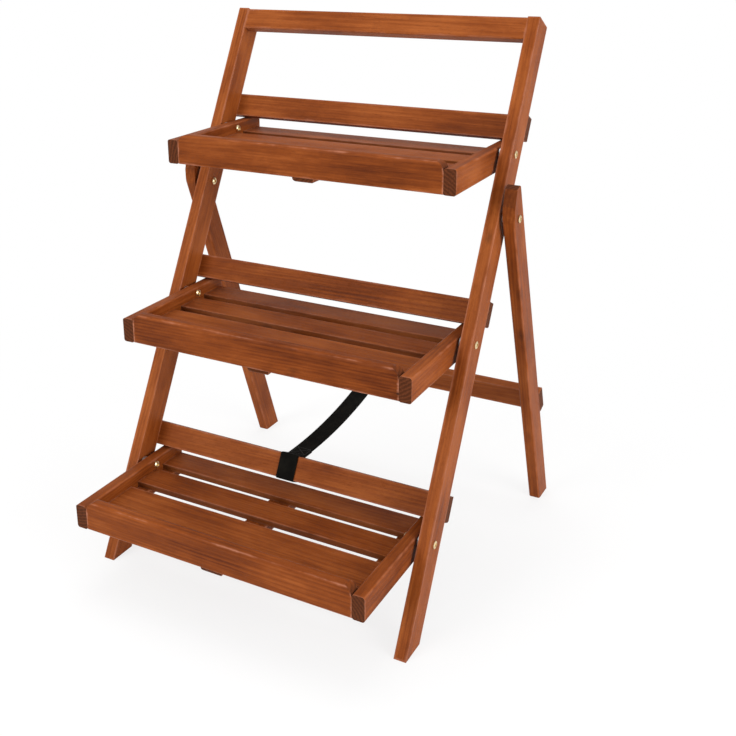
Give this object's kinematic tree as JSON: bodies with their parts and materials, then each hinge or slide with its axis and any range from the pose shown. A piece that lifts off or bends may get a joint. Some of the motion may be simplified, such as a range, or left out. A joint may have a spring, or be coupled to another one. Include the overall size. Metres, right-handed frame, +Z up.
{
  "type": "plant ladder stand",
  "caption": "Folding A-frame plant stand: a leaning ladder frame with three swing-up slatted trays, hinged rear legs and a webbing stay that limits how far it opens.",
  "frame": {"origin": "on the floor, at the middle of the open stand's bounding box", "axes": "+X to the right across the width, +Y towards the rear legs, +Z up; the trays face -Y"},
  "size_m": [0.56, 0.5902, 0.79],
  "materials": {
    "wood": "oiled reddish-brown hardwood, satin, with visible grain and paler worn edges",
    "dowel_wood": "plain beech dowel",
    "brass": "pale brass, lightly tarnished",
    "steel": "plain zinc-plated spacer",
    "webbing": "flat black woven webbing, stitched loops"
  },
  "bodies": {
    "ladder_frame": {"stile_left": "wood", "stile_right": "wood", "top_rail": "wood", "top_rail_dowels": "dowel_wood", "cross_rail_low": "wood", "cross_rail_mid": "wood", "cross_rail_high": "wood", "cross_rail_screws": "brass", "tray_pivot_bolts": "brass", "tray_pivot_nuts": "brass", "tray_pivot_spacers": "steel", "leg_pivot_bolts": "brass", "leg_pivot_nuts": "brass", "leg_pivot_spacers": "steel", "strap_front_loop": "webbing", "strap": "webbing"},
    "rear_frame": {"rear_leg_left": "wood", "rear_leg_right": "wood", "rear_rail": "wood", "rear_rail_screws": "brass", "strap_rear_loop": "webbing"},
    "tray_low": {"tray_low_side_left": "wood", "tray_low_side_right": "wood", "tray_low_front_board": "wood", "tray_low_slat_front": "wood", "tray_low_slat_middle": "wood", "tray_low_slat_back": "wood", "tray_low_cleat_left": "wood", "tray_low_cleat_right": "wood", "tray_low_batten": "wood", "tray_low_screws": "brass", "tray_low_dowels": "dowel_wood"},
    "tray_mid": {"tray_mid_side_left": "wood", "tray_mid_side_right": "wood", "tray_mid_front_board": "wood", "tray_mid_slat_front": "wood", "tray_mid_slat_middle": "wood", "tray_mid_slat_back": "wood", "tray_mid_cleat_left": "wood", "tray_mid_cleat_right": "wood", "tray_mid_batten": "wood", "tray_mid_screws": "brass", "tray_mid_dowels": "dowel_wood"},
    "tray_high": {"tray_high_side_left": "wood", "tray_high_side_right": "wood", "tray_high_front_board": "wood", "tray_high_slat_front": "wood", "tray_high_slat_middle": "wood", "tray_high_slat_back": "wood", "tray_high_cleat_left": "wood", "tray_high_cleat_right": "wood", "tray_high_batten": "wood", "tray_high_screws": "brass", "tray_high_dowels": "dowel_wood"}
  },
  "joints": [
    {"name": "rear_frame_fold", "type": "hinge", "parent": "ladder_frame", "child": "rear_frame", "pos_m": [0, 0.08514, 0.52701], "axis": [-1, 0, 0], "range_deg": [0, 48], "deforming": ["strap"]},
    {"name": "tray_low_fold", "type": "hinge", "parent": "ladder_frame", "child": "tray_low", "pos_m": [0, -0.13508, 0.1277], "axis": [-1, 0, 0], "range_deg": [0, 118]},
    {"name": "tray_mid_fold", "type": "hinge", "parent": "ladder_frame", "child": "tray_mid", "pos_m": [0, -0.00481, 0.36762], "axis": [-1, 0, 0], "range_deg": [0, 118]},
    {"name": "tray_high_fold", "type": "hinge", "parent": "ladder_frame", "child": "tray_high", "pos_m": [0, 0.12545, 0.60754], "axis": [-1, 0, 0], "range_deg": [0, 118]}
  ]
}
